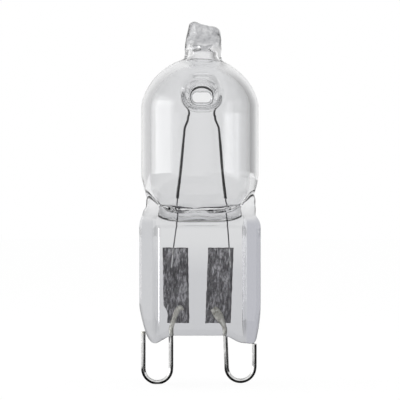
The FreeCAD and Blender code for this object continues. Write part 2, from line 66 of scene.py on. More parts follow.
def node_box(node):
    """The lowest and highest corners of a node of the frame, in millimetres."""
    return [np.array(corner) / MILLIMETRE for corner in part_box(node)]


def smooth_step(value):
    """Rises from 0 to 1 as value does, level at both ends: three squares less two cubes."""
    held = np.clip(value, 0, 1)
    return held * held * (3 - 2 * held)


def wave_field(seed, count, across, along, whole=False):
    """A seeded sum of cosine waves of two coordinates, spread about 0 by about 1.

    across and along are the ranges that the waves' angular frequencies are drawn from. Where whole
    is set, those across are whole numbers, so that the field closes round a circle.
    """
    draw = np.random.default_rng(seed)
    first = draw.uniform(*across, count)
    second = draw.uniform(*along, count)
    phase = draw.uniform(0, 2 * np.pi, count)
    if whole:
        first = np.round(first)

    def field(u, v):
        turns = np.multiply.outer(u, first) + np.multiply.outer(v, second) + phase
        return np.cos(turns).sum(-1) * math.sqrt(2 / count)

    return field


def wrapped_faces(index):
    """Four-sided faces between the rows of an index grid whose last column meets its first."""
    beside = np.roll(index, -1, axis=1)
    return np.stack([index[:-1], index[1:], beside[1:], beside[:-1]], axis=-1).reshape(-1, 4)


def folded(row):
    """An end row closed flat: each column of its second half takes the point that faces it in the first."""
    columns = np.arange(len(row))
    return row[np.minimum(columns, (len(row) - columns) % len(row))]


def new_piece(name, points, faces, material, slot, *nodes):
    """A piece of the object from points in millimetres and faces that may repeat a corner at a pole.

    It rides on the one body, takes its finish from material and stands for the nodes. slot is not used.
    """
    used, corners = np.unique(faces, return_inverse=True)
    corners = corners.reshape(faces.shape)
    kept = corners != np.roll(corners, 1, axis=1)
    sides = kept.sum(axis=1)
    whole = sides > 2
    loops = corners[whole][kept[whole]]
    sides = sides[whole]
    mesh = bpy.data.meshes.new(name)
    mesh.vertices.add(len(used))
    mesh.vertices.foreach_set("co", (points[used] * MILLIMETRE).astype(np.float32).ravel())
    mesh.loops.add(len(loops))
    mesh.loops.foreach_set("vertex_index", loops.astype(np.int32))
    mesh.polygons.add(len(sides))
    mesh.polygons.foreach_set("loop_start", (np.cumsum(sides) - sides).astype(np.int32))
    mesh.polygons.foreach_set("use_smooth", np.ones(len(sides), dtype=bool))
    mesh.update(calc_edges=True)
    mesh.materials.append(material)
    piece = bpy.data.objects.new(name, mesh)
    bpy.context.scene.collection.objects.link(piece)
    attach(piece, "root")
    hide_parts(*nodes)


class Channel:
    """One output of a shader node. Arithmetic on it adds Math nodes, and node() adds any other kind."""

    def __init__(self, tree, socket=None):
        self.tree = tree
        self.socket = socket

    def node(self, kind, settings=None, inputs=None, output=0):
        """A new node with its settings, then the values or links of its inputs, as one of its outputs."""
        made = self.tree.nodes.new(kind)
        for name, value in (settings or {}).items():
            if name == "stops":
                stops = made.color_ramp.elements
                while len(stops) < len(value):
                    stops.new(1.0)
                for stop, (position, colour) in zip(stops, value):
                    stop.position = position
                    stop.color = colour
            else:
                setattr(made, name, value)
        for name, value in (inputs or {}).items():
            if isinstance(value, Channel):
                self.tree.links.new(value.socket, made.inputs[name])
            else:
                made.inputs[name].default_value = value
        return Channel(self.tree, made.outputs[output] if len(made.outputs) else None)

    def math(self, operation, first, second):
        """One Math node on two values or channels."""
        return self.node("ShaderNodeMath", {"operation": operation}, {0: first, 1: second})

    def __add__(self, other):
        return self.math("ADD", self, other)

    def __radd__(self, other):
        return self.math("ADD", other, self)

    def __sub__(self, other):
        return self.math("SUBTRACT", self, other)

    def __rsub__(self, other):
        return self.math("SUBTRACT", other, self)

    def __mul__(self, other):
        return self.math("MULTIPLY", self, other)

    def __rmul__(self, other):
        return self.math("MULTIPLY", other, self)


def new_material(name):
    """A material with an empty node tree, and a channel to build it from."""
    material = bpy.data.materials.new(name)
    material.use_nodes = True
    material.node_tree.nodes.clear()
    return material, Channel(material.node_tree)


def object_place(start, stretch=(1, 1, 1)):
    """Object coordinates in millimetres, multiplied along each axis by stretch."""
    place = start.node("ShaderNodeTexCoord", output="Object")
    scale = tuple(factor / MILLIMETRE for factor in stretch)
    return start.node("ShaderNodeMapping", {"vector_type": "POINT"}, {"Vector": place, "Scale": scale})


def noise(place, scale, detail=4.0, roughness=0.55):
    """Fractal noise about 0.5 at a place: scale sets its grain and detail its number of octaves."""
    inputs = {"Vector": place, "Scale": scale, "Detail": detail, "Roughness": roughness}
    return place.node("ShaderNodeTexNoise", {"noise_dimensions": "3D"}, inputs)


def coordinate(place, axis):
    """One coordinate of a place: X, Y or Z."""
    return place.node("ShaderNodeSeparateXYZ", None, {"Vector": place}, output=axis)


def eased(value, low, high, first=0.0, last=1.0):
    """Goes from first to last as value goes from low to high, level at both ends."""
    inputs = {"Value": value, "From Min": low, "From Max": high, "To Min": first, "To Max": last}
    return value.node("ShaderNodeMapRange", {"interpolation_type": "SMOOTHSTEP"}, inputs)


def toned(value, stops):
    """The colour that a row of stops, each a place from 0 to 1 and a colour, has at value."""
    return value.node("ShaderNodeValToRGB", {"stops": stops}, {"Fac": value})


def mixed(share, one, other):
    """A colour that goes from one to the other as share goes from 0 to 1."""
    return share.node("ShaderNodeMix", {"data_type": "RGBA"}, {0: share, 6: one, 7: other}, output=2)


def coat(start, inputs):
    """Ends a material with one Principled surface that has these inputs."""
    shader = start.node("ShaderNodeBsdfPrincipled", None, inputs)
    start.node("ShaderNodeOutputMaterial", None, {"Surface": shader})


def foil_material(node):
    """Streaked grey metal, with painted shade along the strip's top and its right side."""
    material, start = new_material("crinkled_" + node)
    low, high = node_box(node)
    lean = FOIL_LEANS[node] / (high[2] - low[2])
    place = object_place(start)
    x, z = coordinate(place, "X"), coordinate(place, "Z")
    right_side = (low[0] + high[0] + FOIL_WIDTH) / 2 - lean * (low[2] + high[2]) / 2
    side_painted_shade = eased(right_side + z * lean - x, 0.0, FOIL_SIDE_SHADE_WIDTH, 1.0, 0.0)
    top_painted_shade = eased(high[2] - z, 0.0, FOIL_TOP_SHADE_WIDTH, 1.0, 0.0)
    streaks = noise(object_place(start, (3.4, 1.0, 1.1)), 1.5, 8.0, 0.72)
    blotches = noise(object_place(start, (0.8, 0.8, 0.5)), 0.9, 3.0)
    stops = [(0.40, FOIL_DARK), (0.5, FOIL_MIDDLE), (0.60, FOIL_PALE)]
    metal = toned(streaks * 0.72 + blotches * 0.28, stops)
    # Painted shade: the streaked metal is mixed toward its dark tone along the right side and the top.
    colour = mixed(start.math("MAXIMUM", side_painted_shade, top_painted_shade) * 0.85, metal, FOIL_DARK)
    grain = noise(object_place(start, (3.0, 1.0, 0.8)), 2.2, 5.0, 0.6)
    bump = start.node("ShaderNodeBump", None, {"Height": grain, "Strength": 0.35, "Distance": 0.00005})
    roughness = 0.28 + blotches * 0.3
    coat(start, {"Base Color": colour, "Metallic": 0.75, "Roughness": roughness, "Normal": bump})
    return material


def foil_points(node, seed, torn):
    """The strip's skin, rows going up and columns going round: out across the front and home across the back.

    Across it the strip is a lens, thick in the middle and feathered at its sides. It bows to and fro by a sum
    of waves that run nearly upright, and its sides and ends stray by other sums of waves.
    """
    low, high = node_box(node)
    centre = (low + high) / 2
    columns = np.arange(2 * FOIL_ACROSS)
    across = np.minimum(columns, 2 * FOIL_ACROSS - columns) / FOIL_ACROSS * 2 - 1
    up = np.linspace(0, 1, FOIL_UP)[:, None]
    height = low[2] + (high[2] - low[2]) * up
    lean = FOIL_LEANS[node] * (up - 0.5)
    ragged = wave_field(seed, 9, (0, 1), (1.5, 9.0))
    left_waver = ragged(np.zeros(FOIL_UP), height[:, 0])[:, None]
    right_waver = ragged(np.ones(FOIL_UP), height[:, 0])[:, None]
    side_waver = FOIL_RAGGED_EDGE * np.where(across < 0, left_waver, right_waver)
    left = -FOIL_WIDTH / 2 + side_waver
    right = FOIL_WIDTH / 2 + side_waver
    if torn:
        tear_end = FOIL_TEAR_HEIGHT * 0.6
        left = left + FOIL_TEAR_WIDTH * (1 - smooth_step((height - low[2] - tear_end) / FOIL_TEAR_EASE))
    x = centre[0] + lean + left + (right - left) * (across + 1) / 2
    crinkle = wave_field(seed + 1, 40, (-9.0, 9.0), (-1.6, 1.6))
    buckle = wave_field(seed + 2, 8, (-1.2, 1.2), (-0.8, 0.8))
    bow = FOIL_CRINKLE * (0.5 * crinkle(x, height) + 0.6 * buckle(x, height))
    side = np.where(columns < FOIL_ACROSS, -1.0, 1.0)
    end_feather = np.sqrt(np.clip(1 - (2 * up - 1) ** 20, 0, 1))
    thickness = FOIL_HALF_THICKNESS * (1 - across**2) * end_feather
    y = centre[1] + bow + side * thickness
    fray = wave_field(seed + 3, 12, (-8.0, 8.0), (0, 1))
    z = height + FOIL_RAGGED_EDGE * fray(x, height) * np.abs(2 * up - 1) ** 6
    return np.stack(np.broadcast_arrays(x, y, z), axis=-1)


for number, foil_node in enumerate(FOIL_LEANS):
    foil_grid = foil_points(foil_node, 40 + 10 * number, torn=foil_node == "foil_left")
    foil_index = np.arange(foil_grid.shape[0] * foil_grid.shape[1]).reshape(foil_grid.shape[:2])
    foil_index[0] = folded(foil_index[0])
    foil_index[-1] = folded(foil_index[-1])
    new_piece(
        foil_node + "_strip",
        foil_grid.reshape(-1, 3),
        wrapped_faces(foil_index),
        foil_material(foil_node),
        "foil",
        foil_node,
    )

# Outer leads: stiff round wires of drawn molybdenum, flattened where they are welded to the foils and bent
# into the two base loops. The left one ends in a sheared tail beside the glass, the right one under the foot.
WIRE_RADIUS = 0.25
LOOP_PITCH = 9.0
LOOP_WIDTH = 3.0
LOOP_SHIFT = -0.13
WIRE_SIDES = 20
WIRE_SPACING = 0.06
WIRE_BLUR = 0.45
BEND_STEPS = 60
SHEAR_LENGTH = 0.12
LEFT_LEAD = {
    "tail_top": 5.75,
    "lift": 0.0,
    "inside": [
        (-3.14, 5.3), (-3.10, 6.2), (-2.82, 7.1), (-2.52, 7.9), (-2.30, 8.35), (-1.95, 8.3), (-1.85, 8.05),
    ],
    "weld": 2.4,
    "weld_width": 1.15,
    "weld_depth": 0.6,
    "tip_width": 0.5,
}
RIGHT_LEAD = {
    "tail_top": 4.45,
    "lift": 0.15,
    "inside": [(2.73, 5.3), (2.68, 6.18), (2.30, 6.98), (1.75, 7.88), (1.42, 8.28)],
    "weld": 2.4,
    "weld_width": 1.9,
    "weld_depth": 0.5,
    "tip_width": 0.75,
}


def even_path(corners, spacing, blur):
    """Points evenly spaced along straight runs between corners, then averaged twice over a blur's length.

    Both ends are carried on straight while the average is taken, so the path keeps its full length.
    """
    corners = np.asarray(corners, dtype=float)
    steps = np.linalg.norm(np.diff(corners, axis=0), axis=1)
    along = np.concatenate([[0], np.cumsum(steps)])
    count = max(int(along[-1] / spacing), 2)
    places = np.linspace(0, along[-1], count + 1)
    points = np.stack([np.interp(places, along, line) for line in corners.T], axis=1)
    reach = max(int(blur / spacing / 2), 1)
    window = np.ones(2 * reach + 1) / (2 * reach + 1)
    for _ in range(2):
        carried = np.arange(1, reach + 1)[:, None]
        before = points[0] - carried[::-1] * (points[1] - points[0])
        after = points[-1] + carried * (points[-1] - points[-2])
        longer = np.concatenate([before, points, after])
        points = np.stack([np.convolve(line, window, mode="valid") for line in longer.T], axis=1)
    return points


def tube(points, sideways, radius, sides, flatness=1.0):
    """A closed tube: a ring round each point of a path, square to it, with a flat cap at each end.

    sideways is a direction near square to the path at each point. radius is the ring's half size along the
    third direction, and flatness times it the half size along sideways. Both may change along the path.
    """
    ahead = np.gradient(points, axis=0)
    ahead /= np.linalg.norm(ahead, axis=1, keepdims=True)
    side = sideways - ahead * (sideways * ahead).sum(axis=1, keepdims=True)
    side /= np.linalg.norm(side, axis=1, keepdims=True)
    across = np.cross(side, ahead)
    angle = np.linspace(0, 2 * np.pi, sides, endpoint=False)
    reach = np.broadcast_to(radius, len(points))[:, None]
    depth = reach * np.broadcast_to(flatness, len(points))[:, None]
    rings = (
        points[:, None]
        + across[:, None] * (reach * np.cos(angle))[..., None]
        + side[:, None] * (depth * np.sin(angle))[..., None]
    )
    rings = np.concatenate([rings[:1] * 0 + points[0], rings, rings[-1:] * 0 + points[-1]])
    index = np.arange(rings.shape[0] * sides).reshape(-1, sides)
    index[0] = index[0, 0]
    index[-1] = index[-1, 0]
    return rings.reshape(-1, 3), wrapped_faces(index)


def lead_path(side, lead):
    """The lead's line in the seal's middle plane: down the tail, round the loop, and up into the glass.

    The bend is an arc of half the loop's width that the inner leg touches.
    """
    bend = LOOP_WIDTH / 2
    centre = np.array([side * LOOP_PITCH / 2 + LOOP_SHIFT, bend + WIRE_RADIUS + lead["lift"]])
    entry = np.array(lead["inside"][0])
    away = entry - centre
    touch = math.atan2(away[1], away[0]) + side * math.acos(bend / np.linalg.norm(away))
    start = 0.0 if side > 0 else math.pi
    angle = np.linspace(start, touch - side * 2 * math.pi, BEND_STEPS)
    arc = centre + bend * np.stack([np.cos(angle), np.sin(angle)], axis=1)
    tail = [(side * (LOOP_PITCH + LOOP_WIDTH) / 2 + LOOP_SHIFT, lead["tail_top"])]
    return np.concatenate([tail, arc, lead["inside"]])


def lead_material():
    """Bright drawn metal outside the glass, and pale, patchy oxide on the length that is sealed in it."""
    material, start = new_material("drawn_wire")
    place = object_place(start)
    sealed = eased(coordinate(place, "Z"), 5.2, 5.9)
    drawn = noise(object_place(start, (4.0, 4.0, 0.5)), 2.0, 4.0)
    tarnish = noise(place, 1.6, 5.0, 0.6)
    bright = toned(tarnish, [(0.3, (0.50, 0.50, 0.50, 1.0)), (0.65, (0.78, 0.78, 0.77, 1.0))])
    oxide = toned(tarnish, [(0.36, (0.30, 0.29, 0.24, 1.0)), (0.58, (0.92, 0.91, 0.84, 1.0))])
    bump = start.node("ShaderNodeBump", None, {"Height": drawn, "Strength": 0.04, "Distance": 0.00003})
    surface = {
        "Base Color": mixed(sealed, bright, oxide),
        "Metallic": 1.0 - sealed * 0.45,
        "Roughness": 0.09 + tarnish * 0.06 + sealed * 0.25,
        "Normal": bump,
    }
    coat(start, surface)
    return material


lead_finish = lead_material()
for side, lead_node, lead in ((-1, "outer_lead_left", LEFT_LEAD), (1, "outer_lead_right", RIGHT_LEAD)):
    flat_path = even_path(lead_path(side, lead), WIRE_SPACING, WIRE_BLUR)
    lead_points = np.insert(flat_path, 1, 0.0, axis=1)
    to_tip = np.arange(len(lead_points))[::-1] * WIRE_SPACING
    pressed = smooth_step((lead["weld"] - to_tip) / (0.6 * lead["weld"]))
    narrowing = 1 - (1 - lead["tip_width"]) * smooth_step(1 - to_tip / 0.5) * smooth_step(pressed)
    sheared = smooth_step(np.arange(len(lead_points)) * WIRE_SPACING / SHEAR_LENGTH + 0.35)
    lead_radius = WIRE_RADIUS * (1 + (lead["weld_width"] - 1) * pressed) * narrowing * (0.8 + 0.2 * sheared)
    lead_depth = 1 + (lead["weld_depth"] / lead["weld_width"] - 1) * pressed
    toward_back = np.zeros_like(lead_points) + (0, 1, 0)
    ring_points, ring_faces = tube(lead_points, toward_back, lead_radius, WIRE_SIDES, lead_depth)
    new_piece(lead_node + "_wire", ring_points, ring_faces, lead_finish, "loop_wire", lead_node)

# Inner leads: thin drawn tungsten wires, welded to the tops of the foils and pushed up into the coil's feet.
# They bend a little where the hot quartz closed on them.
INNER_LEAD_RADIUS = 0.07
INNER_LEAD_SIDES = 12
INNER_LEAD_BLUR = 0.8
LEFT_INNER_LEAD = [
    (-3.08, 12.6), (-2.87, 14.76), (-2.49, 17.57), (-2.34, 19.2), (-2.35, 20.4), (-2.29, 21.0),
]
RIGHT_INNER_LEAD = [(3.30, 12.6), (3.16, 14.65), (2.98, 17.2), (2.74, 19.2), (2.65, 20.4), (2.58, 21.0)]
INNER_LEAD_PLANE = 0.155


def inner_wire_material():
    """Dark drawn metal, with a painted white highlight along the length that lies over the foil."""
    material, start = new_material("dark_drawn_wire")
    place = object_place(start)
    tarnish = noise(object_place(start, (1.5, 1.5, 0.6)), 1.8, 4.0)
    dark = toned(tarnish, [(0.32, (0.045, 0.045, 0.05, 1.0)), (0.7, (0.20, 0.20, 0.21, 1.0))])
    highlight_variation = noise(place, 1.3, 2.0)
    bright = toned(highlight_variation, [(0.40, (0.5, 0.5, 0.5, 1.0)), (0.48, (1.0, 1.0, 1.0, 1.0))])
    # Painted highlight: below the foil's top the wire turns white and unmetallic, standing in for the bright
    # line that light draws along it.
    highlight_share = eased(coordinate(place, "Z"), 14.5, 14.9, 1.0, 0.0)
    surface = {
        "Base Color": mixed(highlight_share, dark, bright),
        "Metallic": 0.8 - highlight_share * 0.8,
        "Roughness": 0.3 + tarnish * 0.2,
    }
    coat(start, surface)
    return material


inner_wire_finish = inner_wire_material()
for lead_node, corners in (("inner_lead_left", LEFT_INNER_LEAD), ("inner_lead_right", RIGHT_INNER_LEAD)):
    lead_points = np.insert(even_path(corners, WIRE_SPACING, INNER_LEAD_BLUR), 1, INNER_LEAD_PLANE, axis=1)
    toward_back = np.zeros_like(lead_points) + (0, 1, 0)
    ring_points, ring_faces = tube(lead_points, toward_back, INNER_LEAD_RADIUS, INNER_LEAD_SIDES)
    new_piece(lead_node + "_wire", ring_points, ring_faces, inner_wire_finish, "inner_wire", lead_node)

# Filament: fine tungsten wire wound into a long coil and hung over the quartz post as an upside-down U.
# Its feet are stretched over the tips of the inner leads, which hold it.
COIL_RADIUS = 0.105
COIL_FOOT_RADIUS = 0.145
COIL_WIRE_RADIUS = 0.029
COIL_PITCH = 0.078
COIL_STEPS_PER_TURN = 12
COIL_SIDES = 6
COIL_FEET = [(-2.35, 20.4), (2.65, 20.4)]
COIL_BEND_CENTRE = (0.18, 30.74)
COIL_BEND = 1.46
COIL_KNEES = [(-1.65, 27.75), (2.05, 27.75)]
COIL_STRAIGHT_END = 28.65
COIL_BLUR = 0.3
COIL_STRETCH_TOP = 29.0
COIL_STRETCH_LENGTH = 6.0


def coil_line():
    """The coil's own line: up the left leg, over the post as half a circle, and down the right leg.

    Each leg hangs straight from the arch, and has a knee a little under the dents.
    """
    angle = np.linspace(math.pi * 1.02, -math.pi * 0.02, BEND_STEPS)
    arch = np.array(COIL_BEND_CENTRE) + COIL_BEND * np.stack([np.cos(angle), np.sin(angle)], axis=1)
    left_knee, right_knee = COIL_KNEES
    left_leg = [COIL_FEET[0], left_knee, (arch[0, 0], COIL_STRAIGHT_END)]
    right_leg = [(arch[-1, 0], COIL_STRAIGHT_END), right_knee, COIL_FEET[1]]
    return np.concatenate([left_leg, arch, right_leg])


def coil_wire():
    """The wire's line and its direction from the coil's line: a helix of constant pitch round that line."""
    step = COIL_PITCH / COIL_STEPS_PER_TURN
    line = np.insert(even_path(coil_line(), step, COIL_BLUR), 1, INNER_LEAD_PLANE, axis=1)
    ahead = np.gradient(line, axis=0)
    ahead /= np.linalg.norm(ahead, axis=1, keepdims=True)
    back = np.zeros_like(line) + (0, 1, 0)
    beside = np.cross(back, ahead)
    turn = np.arange(len(line))[:, None] * 2 * np.pi / COIL_STEPS_PER_TURN
    outward = beside * np.cos(turn) + back * np.sin(turn)
    stretch = smooth_step((COIL_STRETCH_TOP - line[:, 2:]) / COIL_STRETCH_LENGTH)
    radius = COIL_RADIUS + (COIL_FOOT_RADIUS - COIL_RADIUS) * stretch
    return line + radius * outward, outward


def tungsten_material():
    """Nearly black wire, with a fine grain in its tone and its polish."""
    material, start = new_material("coiled_tungsten")
    grain = noise(object_place(start), 3.0, 4.0)
    colour = toned(grain, [(0.3, (0.006, 0.006, 0.007, 1.0)), (0.75, (0.03, 0.03, 0.033, 1.0))])
    coat(start, {"Base Color": colour, "Metallic": 0.7, "Roughness": 0.35 + grain * 0.2})
    return material


helix, outward = coil_wire()
ring_points, ring_faces = tube(helix, outward, COIL_WIRE_RADIUS, COIL_SIDES)
new_piece("filament_coil_turns", ring_points, ring_faces, tungsten_material(), "tungsten", "filament_coil")

# Quartz envelope: one piece of clear fused quartz, blown as a bulb and pressed flat at its foot while soft.
# The press pinches the neck's sides to flat wings, two punches dent the bulb from the front and the back
# until they meet as the filament's post, and the exhaust tube is melted shut to a wrinkled, slanted stub.
envelope_high = node_box("quartz_envelope")[1]
BULB_RADIUS = envelope_high[1]
BULB_WALL = 0.9
SEAL_HALF = envelope_high[0]
SEAL_BOTTOM = 5.3
SEAL_TOP = 18.4
RAIL_HALF_THICKNESS = 1.8
WEB_HALF_THICKNESS = 1.3
RAIL_WIDTH = 2.1
RAIL_SLOPE = 0.45
RAIL_FRONT_INSET = 0.4
RAIL_BEVEL = 0.29
RAIL_BEVEL_SHARE = 0.6
RAIL_BACK_EASE = 1.2
RAIL_FADE = (4.6, 7.0)
SEAL_EDGE = 0.55
SHOULDER = 1.5
FOOT_LINE = [
    (-6.60, 7.9),
    (-6.35, 7.1),
    (-5.90, 5.55),
    (-5.50, 4.75),
    (-4.92, 4.35),
    (-3.20, 5.30),
    (2.85, 5.30),
    (4.20, 4.55),
    (5.80, 4.40),
    (6.15, 4.60),
    (6.42, 5.50),
    (6.60, 7.60),
]
FOOT_SOFTNESS = 0.35
FOOT_EDGE = 0.7
SLOPE_STEP = 0.05
NECK_TOP = 22.9
NECK_FOOT = 17.3
LEFT_NECK = {"waist": 5.8, "waist_level": 19.9, "shoulder": (17.7, 19.4), "fullness": 2.4}
RIGHT_NECK = {"waist": 5.96, "waist_level": 19.3, "shoulder": (17.1, 19.4), "fullness": 1.4}
NECK_BLEND = 0.5
NECK_SWELL = 0.7
NECK_WALL_START = 18.2
NECK_WALL_RISE = 2.4
SQUARE_TOP = 19.6
SQUARE_EASE = 1.2
SQUARENESS = 1.4
WING_RISE = 2.0
WING_EDGE = 0.6
WING_TOP = 20.7
WING_TOP_EDGE = 1.0
WING_ROOT = 4.75
WING_SWELL = 0.8
WING_SPREAD = 0.6
WING_EASE = 0.6
WING_INSET = 0.35
WING_INSET_TOP = 19.2
WING_INSET_EASE = 1.1
SLOT_TOP = 19.5
SLOT_LEDGE = 0.45
SLOT_FLOOR = 18.15
SLOT_HALF_WIDTH = 4.3
SLOT_HALF_GAP = 0.55
SLOT_WAVER = 0.03
SLOT_WAVER_TOP = 20.0
SLOT_WAVER_EASE = 1.2
CAVITY_SPREAD = 0.4
DOME_LEVEL = 29.95
DOME_CENTRE = 28.89
DOME_RADIUS = 6.515
DOME_BLEND = 3.0
STUB_OFFSET = 0.33
STUB_LEAN = 0.2
STUB_RADIUS = 2.0
STUB_TOP_RADIUS = 1.6
STUB_TAPER_LEVEL = 36.2
STUB_TOP = 39.3
STUB_SLANT = 0.75
STUB_ROOT = 0.4
STUB_RIM = 0.5
STUB_WRINKLE = 0.02
STUB_CROWN_DROP = 0.06
STUB_CROWN_WRINKLE = 0.045
BORE_RADIUS = 1.1
BORE_CLEAR_TOP = 35.9
BORE_TOP = 36.7
BORE_WRINKLE = 0.12
BORE_ROOT = 1.6
BORE_COLLAPSE = 0.25
BORE_COLLAPSE_EASE = 0.5
BORE_LEAST_RADIUS = 0.15
MENISCUS_WAVER = 0.1
MENISCUS_EDGE = 0.4
DENT_CENTRE = np.array([0.2, 0.0, 31.25])
DENT_FLOOR_HALF = (1.25, 1.15)
DENT_FLOOR_CORNER = 0.85
DENT_FLOOR_DEPTH = 0.9
DENT_FLOOR_EDGE = 0.2
DENT_BACK_EDGE = 0.75
DENT_DRAFT = math.radians(8)
DENT_LIFT = math.radians(6.5)
DENT_RIM = 1.3
DENT_WALL = 0.45
DENT_HALF_GAP = 0.4
POST_CENTRE = np.array([0.18, 0.0, 31.02])
POST_HALF = (1.02, 0.54)
POST_CORNER = 0.5
POST_ROOT = 0.6
POST_FOOT = 0.3
# Painted shade and light by height: the glass's grey tint, darkest on the seal and lightest round the stub's
# foot, stands in for how light and shade fall through the envelope.
QUARTZ_PAINTED_SHADES = [
    (4.4, (0.55, 0.555, 0.575, 1.0)),
    (12.0, (0.575, 0.58, 0.60, 1.0)),
    (15.5, (0.685, 0.69, 0.70, 1.0)),
    (18.0, (0.70, 0.704, 0.715, 1.0)),
    (19.8, (0.835, 0.838, 0.845, 1.0)),
    (34.6, (0.835, 0.838, 0.845, 1.0)),
    (35.3, (0.89, 0.892, 0.898, 1.0)),
    (36.2, (0.88, 0.882, 0.888, 1.0)),
    (37.0, (0.72, 0.723, 0.733, 1.0)),
]
# Painted shade on the seal's rails: the right one darker and bluer, as the right side of the studio is the
# darker.
LEFT_RAIL_PAINTED_SHADE = (0.585, 0.59, 0.607, 1.0)
RIGHT_RAIL_PAINTED_SHADE = (0.49, 0.495, 0.535, 1.0)
STUB_SHADE = (0.30, 0.304, 0.318, 1.0)
PAINTED_SHADE_SPAN = (4.0, 40.0)
OUTER_PLAN = {
    "columns": 224,
    "half_window": 28,
    "window": (26.9, 34.5),
    "foot_rows": 14,
    "cap_rows": 21,
    "rings": 33,
    "foot_level": SEAL_BOTTOM + 1.0,
    "stretches": [(16.8, 39), (20.0, 35), (NECK_TOP, 17), (26.9, 11), (34.5, 47), (35.9, 19), (38.0, 17)],
    "spine": 5.0,
    "foot_spread": 0.9,
    "roundness": (1.5, 6.0, 2.0),
    "round_level": 20.6,
    "flat_ease": 3.6,
    "shift_ease": 2.0,
    "follow": 1.0,
}
CAVITY_PLAN = {
    "columns": 176,
    "half_window": 24,
    "window": (26.9, 34.0),
    "foot_rows": 8,
    "cap_rows": 25,
    "rings": 35,
    "foot_level": SLOT_FLOOR + 0.65,
    "stretches": [(20.0, 27), (NECK_TOP, 15), (26.9, 8), (34.0, 39), (35.4, 17), (36.1, 11)],
    "spine": 3.7,
    "foot_spread": 0.3,
    "roundness": (0.5, 5.4, 1.0),
    "round_level": 21.4,
    "flat_ease": 2.6,
    "shift_ease": 1.2,
    "follow": 0.0,
}
SHIFT_LEVEL = 33.0
FOLLOW_TOP = 12.0
FOLLOW_EASE = 5.7
FLOOR_RINGS = 6
RING_CROWDING = 1.2
HALVINGS = 40


def find_edge(start, direction, field, reach):
    """Where rays leave a form: halves each ray's span until the form's field turns positive there."""
    start, direction = np.broadcast_arrays(start, direction)
    near = np.zeros(start.shape[:-1])
    far = np.full(start.shape[:-1], float(reach))
    for _ in range(HALVINGS):
        middle = (near + far) / 2
        inside = field(start + direction * middle[..., None]) < 0
        near = np.where(inside, middle, near)
        far = np.where(inside, far, middle)
    return start + direction * far[..., None]


def smooth_max(one, other, reach):
    """The larger of two fields, rounded off where they differ by less than reach."""
    meeting = np.clip(1 - np.abs(one - other) / reach, 0, 1)
    return np.maximum(one, other) + meeting * meeting * reach / 4


def smooth_min(one, other, reach):
    """The smaller of two fields, rounded off in the same way."""
    return -smooth_max(-one, -other, reach)


def foot_line(x):
    """The level of the seal's lower edge: straight runs between corners, each level a mean of five places."""
    corners = np.array(FOOT_LINE)
    places = np.stack([x + shift * FOOT_SOFTNESS for shift in (-1.0, -0.5, 0.0, 0.5, 1.0)])
    return np.interp(places, corners[:, 0], corners[:, 1]).mean(axis=0)


def half_width(x, z):
    """Half the width seen from the front: the seal's, drawn in by a shoulder to the waist, then the bulb's.

    The shoulder on the left is the squarer one.
    """
    widths = []
    for neck in (LEFT_NECK, RIGHT_NECK):
        low, high = neck["shoulder"]
        drawn_in = smooth_step((z - low) / (high - low)) ** neck["fullness"]
        blown_out = smooth_step((z - neck["waist_level"]) / (NECK_TOP - neck["waist_level"]))
        width = SEAL_HALF - (SEAL_HALF - neck["waist"]) * drawn_in
        widths.append(width + (BULB_RADIUS - neck["waist"]) * blown_out)
    return np.where(x < 0, *widths)


def oval_field(x, y, half_width, half_thickness, power=2.0):
    """About how far a point lies outside an oval: the oval's own measure over the slope of that measure.

    The power is 2 for an ellipse, and more makes the oval squarer.
    """
    across = np.abs(x / half_width)
    out = np.abs(y / half_thickness)
    measure = np.maximum(across**power + out**power, 1e-12) ** (1 / power)
    slope = np.hypot(across ** (power - 1) / half_width, out ** (power - 1) / half_thickness)
    return (measure - 1) * measure ** (power - 1) / np.maximum(slope, 1e-9)


def seal_field(point):
    """Negative inside the press seal: a slab, thicker at its rails, with all its edges rounded.

    The back of the left rail has a bevel and a long slope, and the other rails have one short slope.
    """
    x, y, z = np.moveaxis(point, -1, 0)
    inward = SEAL_HALF - np.abs(x)
    front = smooth_step((RAIL_WIDTH - RAIL_FRONT_INSET - inward) / RAIL_SLOPE + 0.5)
    bevel = RAIL_BEVEL_SHARE * np.clip((RAIL_WIDTH - inward) / RAIL_BEVEL + 0.5, 0, 1)
    back = bevel + (1 - RAIL_BEVEL_SHARE) * smooth_step((RAIL_WIDTH - inward) / RAIL_BACK_EASE)
    rail = np.where((x < 0) & (y > 0), back, front)
    rail = rail * smooth_step((z - RAIL_FADE[0]) / (RAIL_FADE[1] - RAIL_FADE[0]))
    thickness = WEB_HALF_THICKNESS + (RAIL_HALF_THICKNESS - WEB_HALF_THICKNESS) * rail
    body = smooth_max(np.abs(y) - thickness, np.abs(x) - half_width(x, z), SEAL_EDGE)
    steepness = (foot_line(x + SLOPE_STEP) - foot_line(x - SLOPE_STEP)) / (2 * SLOPE_STEP)
    body = smooth_max(body, (foot_line(x) - z) / np.hypot(1, steepness), FOOT_EDGE)
    return smooth_max(body, z - SEAL_TOP, SHOULDER)


def neck_thickness(z):
    """Half the neck's thickness: it eases from the web's up to the bulb's."""
    share = smooth_step((z - NECK_FOOT) / (NECK_TOP - NECK_FOOT)) ** NECK_SWELL
    return WEB_HALF_THICKNESS + (BULB_RADIUS - WEB_HALF_THICKNESS) * share


def cavity_width(z):
    """Half the cavity's width: the slot's, then out to the bulb's, quickly at first."""
    share = smooth_step((z - SLOT_TOP) / (NECK_TOP - SLOT_TOP)) ** CAVITY_SPREAD
    return SLOT_HALF_WIDTH + (BULB_RADIUS - BULB_WALL - SLOT_HALF_WIDTH) * share


